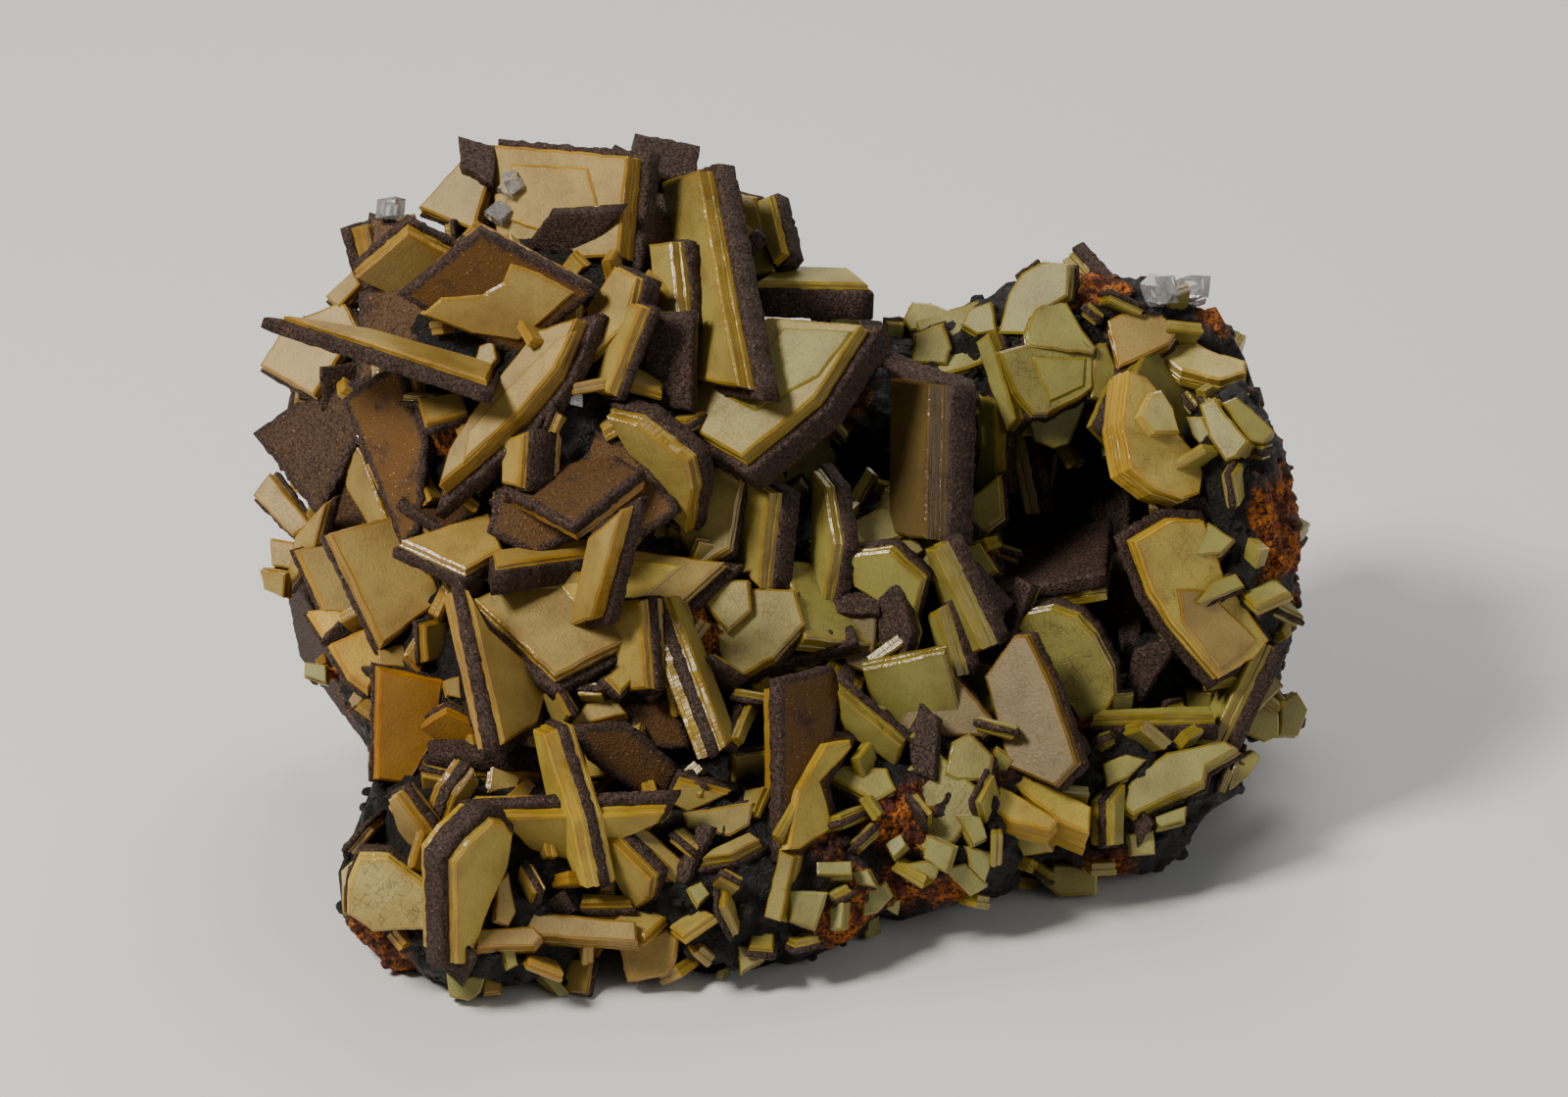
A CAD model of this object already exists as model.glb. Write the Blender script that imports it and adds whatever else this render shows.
import math
import random

import bmesh
import bpy
from mathutils import Euler, Matrix, Vector, noise


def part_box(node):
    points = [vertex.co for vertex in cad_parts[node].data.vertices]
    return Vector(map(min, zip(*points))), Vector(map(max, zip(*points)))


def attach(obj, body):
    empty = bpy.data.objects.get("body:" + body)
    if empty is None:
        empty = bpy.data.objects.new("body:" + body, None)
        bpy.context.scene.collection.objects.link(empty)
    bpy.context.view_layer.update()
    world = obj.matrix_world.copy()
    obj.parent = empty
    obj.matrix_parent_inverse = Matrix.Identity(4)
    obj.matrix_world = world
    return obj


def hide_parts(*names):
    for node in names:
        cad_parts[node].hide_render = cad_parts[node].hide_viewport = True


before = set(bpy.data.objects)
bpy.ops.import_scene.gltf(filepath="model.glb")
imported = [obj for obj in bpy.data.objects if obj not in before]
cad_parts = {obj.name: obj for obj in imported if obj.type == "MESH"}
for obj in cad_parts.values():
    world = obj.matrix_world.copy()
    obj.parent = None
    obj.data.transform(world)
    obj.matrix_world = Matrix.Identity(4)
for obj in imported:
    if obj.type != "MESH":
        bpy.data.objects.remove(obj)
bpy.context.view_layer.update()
print("solids loaded:", len(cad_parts))

mm = 0.001
noise.seed_set(3)  # without it noise_vector follows the clock

# The crystals that show are laid out on an upright sheet at real size, in tenths of a millimetre
sheet = {"unit": 0.0001, "middle": (800.0, 559.5), "height": 30 * mm,
         "turn": math.radians(28), "eyeDistance": 600 * mm}
toRight = Vector((1, 0, 0))
toTop = Vector((0, math.sin(sheet["turn"]), math.cos(sheet["turn"])))
toEye = Vector((0, -math.cos(sheet["turn"]), math.sin(sheet["turn"])))
sheetOrigin = Vector((0, 0, sheet["height"]))
eye = sheetOrigin + toEye * sheet["eyeDistance"]

# How the crystals sit, in millimetres: seated depth, room over the rock, how far the brown zone
# stands out on large and on small crystals; large ones reach past rimSpan from their middle
seating = {"bury": 1.6, "clear": 0.6, "rim": 0.9, "smallRim": 0.3, "rimSpan": 9.4,
           "liftShare": 0.4, "pointed": 0.3}

# Lumps that make up the rock: middle and half sizes in millimetres
rockLumps = {
    "dome": ((-23, 10, 39), (22, 20, 21)),
    "dome_foot": ((-20, -1, 18), (26, 22, 19)),
    "left_ledge": ((-30, -25, 7), (15, 15, 11)),
    "middle_ledge": ((-6, -22, 7), (18, 15, 11)),
    "right_ledge": ((13, -15, 9), (15, 14, 11)),
    "right_floor": ((32, -9, 8), (15, 12, 9)),
    "right_wall": ((46, 6, 25), (7, 13, 20)),
    "ridge": ((31, 20, 41), (18, 8, 10)),
    "ridge_foot": ((30, 26, 15), (18, 8, 19)),
    "saddle_back": ((11, 17, 32), (12, 12, 13)),
    "saddle": ((9, 3, 18), (16, 16, 17)),
    "underside": ((2, 2, 4), (30, 21, 6)),
}

# The crystals one by one: name, outline of the face on the sheet, how far the face leans to the
# right and up, thickness in millimetres of the pale front, the brown zone and the pale rear.
# At the end some have a lift towards the camera, or the crystal that they lie on and how far
# they stand out from it.
domeRows = [
    ("crown", (500, 146, 641, 158, 632, 262, 585, 264, 505, 245), (-0.55, 0.15), (2.4, 2.2, 0)),
    ("crown_brow", (541, 250, 563, 220, 632, 216, 592, 264), (-0.3, -0.5), (0, 1.3, 0.8)),
    ("crown_knob", (652, 138, 712, 150, 706, 182, 655, 178), (0.2, 0.5), (0, 3, 0)),
    ("shoulder", (471, 160, 500, 178, 484, 236, 424, 212), (-0.4, 0.3), (1.6, 1.2, 0)),
    ("shoulder_knob", (470, 142, 502, 150, 500, 184, 472, 168), (-0.1, 0.5), (0, 2, 0)),
    ("upright", (378, 220, 425, 234, 442, 264, 372, 292), (-0.3, 0.2), (0, 1.6, 1.2)),
    ("upright_chip", (330, 302, 360, 274, 368, 290, 345, 314), (-0.4, 0.4), (1.2, 1, 0)),
    ("brow", (412, 302, 490, 237, 605, 298, 527, 363), (0, -0.42), (0, 1.5, 1.5), 2.5),
    ("left_amber", (368, 300, 440, 268, 432, 345, 365, 395), (-0.35, 0.1), (0, 1.3, 1.3)),
    ("spear", (288, 320, 378, 334, 506, 370, 498, 388), (0.27, 0.92), (0.6, 1.5, 0), 3),
    ("fan_one", (263, 373, 290, 330, 350, 305, 366, 335, 320, 405), (-0.35, 0.3), (1.2, 1.4, 0)),
    ("fan_two", (260, 442, 300, 415, 360, 395, 372, 430, 325, 525), (-0.45, 0.1), (0, 1.3, 1.4)),
    ("fan_three", (290, 436, 358, 398, 415, 558, 395, 583, 340, 530), (-0.5, -0.05), (0, 1.4, 1.2), 1.5),
    ("fan_strip", (336, 428, 350, 416, 406, 556, 396, 573, 352, 500), (-0.6, 0), (1.4, 0, 0), 2.5),
    ("fan_four", (352, 408, 405, 372, 434, 450, 426, 540, 410, 555), (-0.4, 0), (0, 1.4, 1.3), 3),
    ("far_left", (256, 505, 275, 480, 318, 535, 298, 548), (-0.35, 0.3), (1.5, 1.2, 0)),
    ("left_slant", (300, 545, 332, 512, 320, 562, 288, 608), (-0.75, -0.3), (0.9, 1, 0)),
    ("left_chip_one", (274, 548, 302, 552, 300, 582, 276, 578), (-0.3, 0.1), (1.4, 0, 0)),
    ("left_chip_two", (263, 580, 292, 584, 290, 612, 268, 602), (-0.4, -0.1), (1.4, 0, 0)),
    ("cheek", (300, 560, 345, 548, 372, 630, 330, 625), (0.1, 0.2), (1.4, 0.6, 0)),
    ("sliver_one", (409, 380, 425, 376, 437, 446, 416, 452), (-0.5, 0), (1.2, 0.6, 0)),
    ("sliver_two", (424, 500, 442, 503, 440, 552, 424, 549), (-0.4, 0.1), (1.2, 0, 0)),
    ("ramp", (545, 336, 590, 322, 566, 380, 530, 425, 445, 498, 456, 458, 478, 422), (-0.5, 0.35),
     (1.9, 2, 0), 2),
    ("ramp_back", (597, 314, 626, 270, 650, 282, 640, 330, 596, 372), (-0.62, 0.2), (1.1, 2.6, 0), 1.5),
    ("ramp_chip", (568, 314, 590, 308, 590, 332, 570, 336), (-0.3, 0.2), (1.4, 0, 0), 1),
    ("prism_pair", (511, 448, 534, 440, 530, 498, 510, 494), (-0.78, 0), (0.8, 3.2, 1), 3.5),
    ("oval", (480, 380, 488, 352, 504, 345, 508, 366, 495, 383), (-0.2, 0.2), (1.2, 0, 0)),
    ("curl", (424, 404, 472, 398, 478, 420, 434, 432), (0, 0.6), (0.8, 0.9, 0)),
    ("green_edge", (636, 306, 655, 312, 620, 402, 600, 400), (-0.8, 0.2), (1.2, 1, 0)),
    ("green_arc", (648, 322, 672, 312, 694, 322, 690, 350, 652, 356), (-0.2, 0.5), (1, 1, 0)),
    ("grey_plate", (655, 325, 705, 320, 703, 416, 662, 410), (-0.3, -0.1), (0, 1.5, 1.5)),
    ("small_glossy", (660, 248, 685, 245, 694, 328, 668, 332), (-0.72, 0.1), (1.8, 1.6, 0), 1),
    ("tall_glossy", (673, 185, 712, 172, 754, 395, 703, 388), (-0.84, 0.14), (1.9, 2.3, 0), 1),
    ("arch", (766, 206, 785, 198, 800, 258, 788, 270, 770, 232), (-0.6, 0.2), (1, 2.2, 0)),
    ("arch_back", (752, 196, 770, 200, 792, 278, 764, 284), (-0.3, 0.1), (1.2, 1.2, 0)),
    ("pointer", (798, 270, 866, 272, 888, 290, 770, 287), (0.05, 0.9), (0.7, 3.2, 0), 1),
    ("green_face", (500, 540, 510, 498, 560, 480, 594, 540, 545, 566), (0, 0.2), (0, 1.4, 1.2)),
    ("bar", (503, 560, 618, 546, 624, 560, 506, 577), (0.1, 0.9), (0.6, 2.6, 0), 3.5),
    ("collar", (407, 550, 500, 520, 514, 560, 475, 581), (0.05, 0.72), (1.1, 1.7, 0), 3),
    ("bib", (334, 543, 415, 521, 453, 612, 390, 659), (0.22, 0.25), (1.9, 1.3, 0), 0.5),
    ("apron", (482, 610, 560, 575, 650, 560, 742, 572, 665, 640, 566, 690), (0.03, 0.5), (1.5, 1.7, 0),
     1),
    ("stick", (598, 548, 634, 519, 604, 632, 578, 641), (-0.85, -0.22), (1.4, 1.4, 0), 5),
    ("long_blade", (478, 600, 500, 640, 563, 696, 550, 738, 514, 760), (0.78, 0.2), (0.5, 1.6, 1.5), 1),
    ("mid_blade", (684, 606, 700, 606, 753, 752, 742, 762), (0.86, 0.42), (0.9, 1.3, 1.3), 3),
    ("lower_tan", (728, 640, 745, 598, 812, 600, 822, 636, 790, 672, 738, 700), (-0.1, 0.35),
     (1.5, 1.7, 0)),
    ("lower_step", (714, 612, 728, 590, 765, 590, 768, 622, 742, 646), (-0.1, 0.3), (1.6, 0, 0),
     ("lower_tan", 1)),
    ("arrow", (616, 424, 650, 432, 702, 472, 708, 500, 700, 547, 668, 512), (-0.5, -0.5), (1.7, 2.1, 0),
     4.5),
    ("tall_right", (762, 490, 785, 502, 775, 602, 738, 568), (-0.76, 0.05), (1.7, 2.3, 0), 1.5),
    ("big_tan", (782, 322, 880, 330, 832, 405, 756, 467, 698, 434, 694, 408), (-0.36, 0.45),
     (1.8, 3.6, 0), 0.5),
    ("under_arrow", (596, 440, 640, 452, 690, 520, 655, 545, 600, 500), (-0.1, 0.1), (0, 1.4, 1)),
    ("under_big", (700, 470, 760, 478, 745, 560, 712, 580, 690, 545), (-0.2, 0.2), (1.4, 1.2, 0)),
    ("chest", (450, 575, 500, 590, 470, 640, 455, 610), (0.2, 0.3), (1.2, 1, 0)),
]

frontRows = [
    ("leaf", (386, 680, 454, 694, 446, 754, 418, 801, 384, 796), (0.34, -0.08), (1.2, 0.7, 0.8)),
    ("leaf_step", (408, 752, 455, 725, 486, 740, 484, 772, 440, 770), (-0.12, -0.6), (0.7, 0.7, 0.6), 1),
    ("orange_tan", (335, 656, 372, 640, 398, 664, 376, 706, 355, 690), (0.1, 0.3), (1.6, 0.8, 0)),
    ("orange_back", (312, 622, 340, 618, 374, 634, 366, 642, 334, 656), (0, 0.4), (1.6, 0.8, 0)),
    ("orange_chip", (385, 662, 413, 655, 418, 682, 386, 680), (0.2, 0.2), (1.4, 0, 0)),
    ("pale_prism", (414, 668, 430, 640, 440, 664, 430, 686), (0.3, 0.2), (1.6, 0, 0)),
    ("pale_shard", (450, 694, 470, 688, 472, 714, 455, 710), (0.1, 0.2), (1.6, 0, 0)),
    ("twin", (439, 751, 500, 756, 548, 764, 548, 772, 440, 768), (-0.08, 0.88), (0, 1.7, 1.6), 2),
    ("wedge", (590, 744, 640, 740, 692, 785, 672, 822, 604, 775), (0.2, -0.2), (0, 1.5, 1.3)),
    ("wedge_tan", (572, 748, 598, 716, 626, 710, 642, 728, 592, 740), (0, 0.4), (1.4, 0.8, 0)),
    ("valley_one", (618, 690, 664, 654, 682, 660, 634, 706), (0.3, 0.5), (0.6, 1.2, 0)),
    ("valley_two", (660, 694, 700, 664, 708, 674, 668, 704), (0.3, 0.6), (0.6, 1.2, 0)),
    ("valley_three", (640, 720, 690, 712, 700, 760, 660, 762), (0.1, 0), (0, 1.2, 1)),
    ("slim", (542, 743, 554, 748, 584, 840, 598, 908, 589, 905, 560, 830), (-0.9, -0.27),
     (1.5, 1.1, 0.7), 3),
    ("table", (482, 835, 575, 833, 680, 829, 672, 842, 578, 884, 540, 868, 522, 850), (0.02, -0.66),
     (1.2, 1.2, 1), 1),
    ("arc_plate", (454, 841, 464, 812, 485, 783, 490, 800, 472, 832), (0.78, -0.35), (0.6, 1.2, 1.1),
     0.5),
    ("sparkle_plate", (394, 816, 404, 810, 440, 858, 430, 878, 405, 850), (-0.6, -0.45), (1.1, 1, 0.6)),
    ("front_thick", (463, 880, 480, 858, 504, 836, 516, 838, 525, 851, 520, 885, 500, 930, 480, 985,
     465, 985), (0.72, -0.34), (0.9, 2.5, 1.5), 2),
    ("cream", (366, 873, 396, 874, 457, 920, 445, 951, 416, 950, 380, 952, 353, 933, 354, 901),
     (-0.05, -0.3), (1.2, 1.9, 0), 1),
    ("cream_side", (347, 888, 366, 870, 352, 905, 350, 935), (-0.6, 0), (1.4, 0, 0)),
    ("fan_right", (605, 845, 626, 860, 664, 898, 660, 920, 645, 933, 626, 900), (-0.6, -0.45),
     (1.3, 1.3, 0.6), 1.5),
    ("green_back", (625, 828, 662, 846, 702, 880, 690, 902, 662, 880), (0.3, 0.3), (1.4, 1, 0)),
    ("yellow_strip", (612, 858, 632, 862, 630, 912, 611, 910), (0.2, 0.1), (1.6, 0, 0)),
    ("stack", (592, 910, 640, 912, 646, 920, 592, 921), (0.02, 0.86), (0.8, 0.7, 0.7)),
    ("green_bar", (533, 928, 650, 938, 652, 962, 535, 955), (0.02, 0.35), (2.6, 0, 0)),
    ("green_bar_two", (483, 946, 545, 944, 554, 955, 545, 966, 485, 968), (0, 0.3), (2.4, 0, 0)),
    ("pale_flat", (632, 968, 680, 946, 694, 957, 690, 985, 680, 996, 640, 1003), (0, 0), (1.6, 0, 0)),
    ("pit_shard", (507, 900, 520, 888, 528, 930, 520, 946, 505, 940), (0.3, 0.1), (1.4, 0, 0)),
    ("front_blade", (801, 700, 848, 688, 854, 699, 844, 757, 870, 753, 840, 798, 853, 845, 818, 867,
     803, 869), (0.66, 0.08), (0, 1.6, 1.9), 2.5),
    ("blade_patch", (843, 757, 869, 753, 871, 763, 839, 798, 853, 845, 818, 867, 803, 868, 815, 805),
     (0.66, 0.08), (1.5, 0, 0), ("front_blade", 1)),
    ("blade_foot", (778, 936, 794, 866, 811, 874, 797, 942), (-0.3, 0), (2.6, 0, 0)),
    ("brace", (853, 705, 921, 762, 915, 786, 858, 746), (-0.25, -0.6), (1.4, 1, 0)),
    ("green_tan", (842, 792, 860, 778, 906, 782, 916, 805, 893, 818), (0, 0.5), (1.1, 0.9, 0.9)),
    ("pair_one", (682, 820, 693, 796, 746, 810, 702, 830), (0, -0.3), (1.3, 1.2, 0)),
    ("pair_two", (695, 828, 770, 816, 766, 842, 745, 854, 700, 845), (0, 0.2), (1.5, 1, 0)),
    ("pair_three", (714, 876, 726, 864, 765, 847, 777, 856, 745, 872), (-0.1, 0.72), (1.2, 0.7, 1)),
    ("dark_stick", (688, 893, 715, 842, 724, 845, 698, 898), (-0.5, 0.2), (0, 1, 0.5)),
    ("v_plate", (751, 752, 782, 678, 792, 688, 760, 760), (0.85, 0.3), (0.8, 1, 0), 1.5),
    ("dark_arm", (772, 690, 800, 654, 868, 640, 872, 654, 815, 668), (-0.2, 0.6), (0, 1.7, 0.8), 2),
]

saddleRows = [
    ("wavy", (828, 478, 842, 496, 852, 555, 838, 628, 822, 612, 826, 540), (-0.85, 0), (1.2, 1.7, 0), 2),
    ("glass_chip", (858, 520, 884, 474, 892, 482, 868, 524), (-0.4, 0.3), (1.2, 0, 0)),
    ("tip", (862, 536, 900, 515, 936, 520, 930, 546, 880, 562), (0, 0.4), (1, 1.3, 0)),
    ("green_wing", (862, 566, 908, 560, 943, 592, 932, 637, 905, 622, 870, 600), (-0.3, -0.35),
     (1.3, 1.5, 0), 1.5),
    ("dark_spear", (895, 585, 915, 600, 928, 645, 915, 690, 898, 650), (-0.6, 0), (0, 1.6, 1), 1),
    ("dark_arc", (854, 606, 896, 606, 895, 624, 858, 622), (0, 0.5), (0, 1.2, 0.8)),
    ("deep_tan", (846, 622, 896, 626, 892, 690, 862, 680), (-0.1, 0.1), (1.2, 1, 0)),
    ("tall_blade", (907, 384, 949, 392, 945, 551, 905, 546), (-0.8, 0.06), (2.7, 3.2, 0), 3),
    ("blade_cap", (902, 354, 932, 370, 990, 388, 995, 402, 930, 388, 900, 368), (-0.15, 0.65),
     (0, 1.6, 0.8)),
    ("blade_back", (992, 404, 1017, 408, 1018, 500, 994, 505), (-0.72, 0), (1.4, 1.3, 0)),
    ("striated", (986, 510, 1020, 482, 1024, 528, 990, 552), (-0.2, 0.2), (1.4, 0.8, 0)),
    ("stair", (942, 560, 953, 560, 1003, 664, 985, 673, 958, 620), (-0.8, -0.4), (1.9, 1.7, 0), 2.5),
    ("stair_edge", (972, 568, 984, 560, 1032, 612, 1020, 623), (0.45, 0.7), (0, 1.2, 1), 1),
    ("crook", (1038, 592, 1050, 598, 1032, 642, 1016, 685, 1004, 676, 1022, 640), (-0.65, 0.2),
     (0, 1.3, 0.8), 2.5),
    ("small_face_one", (905, 552, 938, 548, 944, 562, 920, 575), (0, 0.2), (1.2, 0, 0)),
    ("small_face_two", (980, 560, 1000, 552, 1018, 582, 1000, 590), (-0.2, 0.2), (1.3, 0.8, 0)),
    ("lower_stair", (944, 626, 956, 620, 977, 692, 962, 694), (-0.85, -0.3), (1.5, 1.4, 0), 1),
    ("glitter", (985, 700, 1044, 714, 1051, 724, 988, 712), (0.2, 0.85), (0, 1, 1.4), 1.5),
    ("mottled", (910, 748, 930, 708, 960, 674, 988, 702, 1018, 738, 1002, 752, 940, 752), (-0.1, 0.2),
     (1.6, 1.2, 0)),
    ("mottled_chip", (930, 756, 940, 722, 954, 735, 951, 792, 934, 786), (-0.4, 0.1), (0, 1.2, 0.8)),
    ("pebble", (962, 790, 970, 756, 990, 746, 1015, 770, 1010, 797, 976, 797), (0, 0.3), (1.6, 0.6, 0)),
    ("cap", (1022, 615, 1034, 586, 1060, 576, 1086, 590, 1083, 609, 1040, 617), (0.1, 0.3),
     (1.4, 1.2, 0)),
    ("moon", (1036, 640, 1048, 624, 1073, 619, 1100, 628, 1118, 647, 1136, 682, 1138, 711, 1126, 733,
     1102, 739, 1076, 700), (-0.2, -0.22), (1.7, 1.8, 0), 0.5),
    ("sail", (1003, 690, 1034, 647, 1048, 646, 1074, 700, 1100, 778, 1076, 803, 1028, 783), (-0.38, 0.1),
     (1.3, 1.6, 0), 3.5),
    ("edge_one", (1142, 628, 1160, 632, 1164, 700, 1150, 706), (-0.3, 0), (0, 1.4, 0.6)),
    ("edge_two", (1160, 664, 1194, 654, 1190, 670, 1156, 722, 1145, 712), (-0.4, -0.2), (0, 1.4, 0.8),
     1.5),
    ("shelf", (1113, 729, 1124, 723, 1234, 719, 1240, 727), (0, 0.93), (1.3, 1.6, 1.1), 2.5),
    ("ladle", (1143, 822, 1152, 795, 1190, 766, 1250, 754, 1265, 763, 1232, 782, 1229, 798, 1195, 813,
     1156, 832), (-0.1, 0.4), (1.8, 0.8, 0)),
    ("pillar", (1136, 818, 1150, 798, 1148, 862, 1136, 863), (0.82, 0), (0.9, 0.8, 1.1)),
    ("pale_wing", (1124, 778, 1150, 768, 1172, 774, 1150, 794, 1128, 804), (0, 0.4), (1.4, 0, 0)),
    ("cream_block", (1032, 800, 1044, 788, 1062, 795, 1115, 822, 1113, 852, 1080, 838), (0.15, 0.5),
     (4.4, 0, 0), 0.5),
    ("cream_step", (1005, 822, 1020, 800, 1040, 810, 1082, 836, 1072, 848, 1030, 838), (0.1, 0.5),
     (3, 0, 0)),
    ("bottom_tan", (1062, 900, 1075, 880, 1121, 882, 1120, 913, 1080, 916), (0, 0), (1.6, 0, 0)),
]

ridgeRows = [
    ("ridge_chip_one", (920, 326, 930, 306, 950, 308, 980, 318, 966, 336, 928, 338), (-0.1, 0.3),
     (1.8, 0.8, 0)),
    ("ridge_chip_two", (980, 332, 988, 314, 1012, 306, 1018, 338, 996, 342), (-0.2, 0.3), (1.6, 0.8, 0)),
    ("ridge_green", (928, 371, 932, 340, 962, 328, 972, 355, 966, 373), (-0.1, 0.1), (1.4, 1.2, 0)),
    ("ring_top", (1017, 341, 1028, 299, 1041, 278, 1064, 265, 1092, 268, 1090, 302, 1053, 326,
     1047, 342), (-0.3, 0.2), (2, 1, 0)),
    ("ring_next", (1045, 338, 1055, 314, 1075, 302, 1090, 308, 1106, 336, 1120, 354, 1116, 362,
     1047, 354), (0, 0.3), (1.6, 0.8, 0), 1),
    ("shield", (1018, 358, 1047, 350, 1117, 358, 1117, 396, 1105, 406, 1070, 424, 1054, 424, 1034, 400),
     (0.1, 0.1), (1.8, 1.2, 0), 1.5),
    ("shield_two", (1116, 352, 1130, 348, 1148, 394, 1136, 412, 1112, 407, 1116, 362), (0.2, 0),
     (1.8, 0.8, 0)),
    ("left_edge", (994, 349, 1008, 338, 1022, 375, 1037, 428, 1026, 442, 1010, 400), (-0.6, -0.1),
     (1.8, 1.2, 0), 1.5),
    ("green_prism", (1048, 428, 1095, 404, 1112, 404, 1092, 455, 1075, 460, 1054, 452), (0, -0.35),
     (2.4, 0, 0)),
    ("page", (1129, 326, 1149, 316, 1186, 320, 1205, 335, 1194, 352, 1158, 369, 1141, 376), (0, 0.3),
     (1.8, 0.6, 0), 1.5),
    ("rolled", (1178, 358, 1215, 344, 1236, 356, 1273, 367, 1272, 380, 1245, 388, 1205, 378), (0, 0.6),
     (1.8, 0, 1), 1),
    ("gold_page", (1150, 376, 1172, 384, 1197, 415, 1204, 442, 1219, 458, 1230, 483, 1226, 504,
     1208, 510, 1180, 500, 1152, 478, 1143, 430), (0.52, 0.3), (1.8, 0, 1.8), 4),
    ("gold_step", (1174, 399, 1186, 396, 1199, 416, 1206, 442, 1178, 443, 1162, 424), (0.52, 0.3),
     (1.5, 0, 0), ("gold_page", 1)),
    ("ridge_block", (1222, 412, 1240, 403, 1254, 425, 1276, 450, 1262, 467, 1250, 472, 1232, 446),
     (-0.3, 0.2), (2.6, 0, 0), 0.5),
    ("ridge_sliver", (1208, 424, 1226, 424, 1242, 455, 1230, 464, 1214, 442), (-0.4, 0.1), (1.4, 0, 0)),
    ("glassy_green", (1246, 410, 1262, 403, 1282, 420, 1303, 440, 1290, 453, 1274, 450), (0.1, 0.3),
     (2.2, 0, 0)),
    ("door_lintel", (1180, 512, 1228, 510, 1233, 528, 1194, 530), (0.1, -0.4), (0, 1.4, 0.6)),
    ("right_door", (1157, 552, 1196, 529, 1230, 530, 1252, 590, 1297, 653, 1282, 671, 1244, 694,
     1198, 640, 1176, 605), (0.42, -0.05), (1.6, 1, 0.8), 2),
    ("door_wedge", (1207, 568, 1224, 542, 1233, 531, 1262, 550, 1246, 566), (0, 0.2), (1.8, 1.2, 0),
     1.5),
    ("door_step", (1220, 614, 1240, 590, 1262, 584, 1272, 598, 1226, 617), (0.2, 0.2), (1, 0.6, 0), 3),
    ("green_low", (1248, 746, 1259, 706, 1276, 690, 1302, 688, 1312, 700, 1290, 722, 1272, 742),
     (0.2, 0), (2, 0, 0)),
    ("green_end", (1304, 752, 1307, 716, 1324, 704, 1336, 724, 1326, 752), (0.3, 0.1), (1.8, 0, 0)),
    ("amber_low", (1264, 748, 1284, 716, 1306, 728, 1306, 752, 1290, 759), (0.1, -0.2), (1.6, 0, 0)),
    ("flake_one", (1250, 812, 1259, 776, 1280, 764, 1288, 772, 1276, 792), (0.3, 0.1), (1.4, 0, 0)),
]

# Thin growths on the faces of larger crystals
detailRows = [
    ("brow_patch", (428, 322, 450, 303, 492, 300, 512, 288, 520, 268, 551, 278, 588, 299, 530, 350,
     480, 342), (0, 0), (0.6, 0, 0), ("brow", 0.3)),
    ("ramp_step", (566, 345, 585, 336, 566, 376, 530, 420, 470, 474, 476, 440, 500, 412), (0, 0),
     (0.5, 0, 0), ("ramp", 0.25)),
    ("apron_step", (560, 585, 640, 568, 700, 575, 655, 612, 600, 630), (0, 0), (0.5, 0, 0),
     ("apron", 0.22)),
    ("tan_step", (800, 332, 872, 336, 836, 384, 770, 420, 740, 405), (0, 0), (0.5, 0, 0),
     ("big_tan", 0.22)),
    ("crown_step", (520, 165, 600, 170, 612, 215, 560, 240, 512, 225), (0, 0), (0.5, 0, 0),
     ("crown", 0.22)),
    ("shield_step", (1050, 362, 1110, 364, 1108, 395, 1070, 412), (0, 0), (0.5, 0, 0), ("shield", 0.22)),
    ("door_sheet", (1200, 600, 1232, 600, 1285, 652, 1262, 672, 1244, 684, 1206, 636), (0, 0),
     (0.5, 0, 0), ("right_door", 0.25)),
]

# Crystals on the crust of the deep hollow
hollowRows = [
    ("hollow_floor", (1010, 545, 1040, 525, 1120, 555, 1130, 590, 1050, 585), (0, 0.6), (1.4, 1, 0)),
    ("hollow_wall_one", (1112, 490, 1150, 500, 1150, 545, 1116, 540), (-0.4, 0.2), (0, 1.4, 1)),
    ("hollow_wall_two", (1100, 440, 1128, 415, 1134, 450, 1112, 462), (-0.2, -0.3), (1.4, 1, 0)),
    ("hollow_back", (1030, 470, 1070, 462, 1080, 500, 1040, 510), (0.1, 0.2), (0, 1.4, 1)),
    ("hollow_side", (1140, 545, 1156, 550, 1160, 610, 1138, 600), (-0.7, 0), (0, 1.2, 0.8)),
    ("hollow_low", (1170, 690, 1215, 670, 1236, 705, 1190, 720), (-0.2, 0.4), (0, 1.2, 1)),
]

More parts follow.
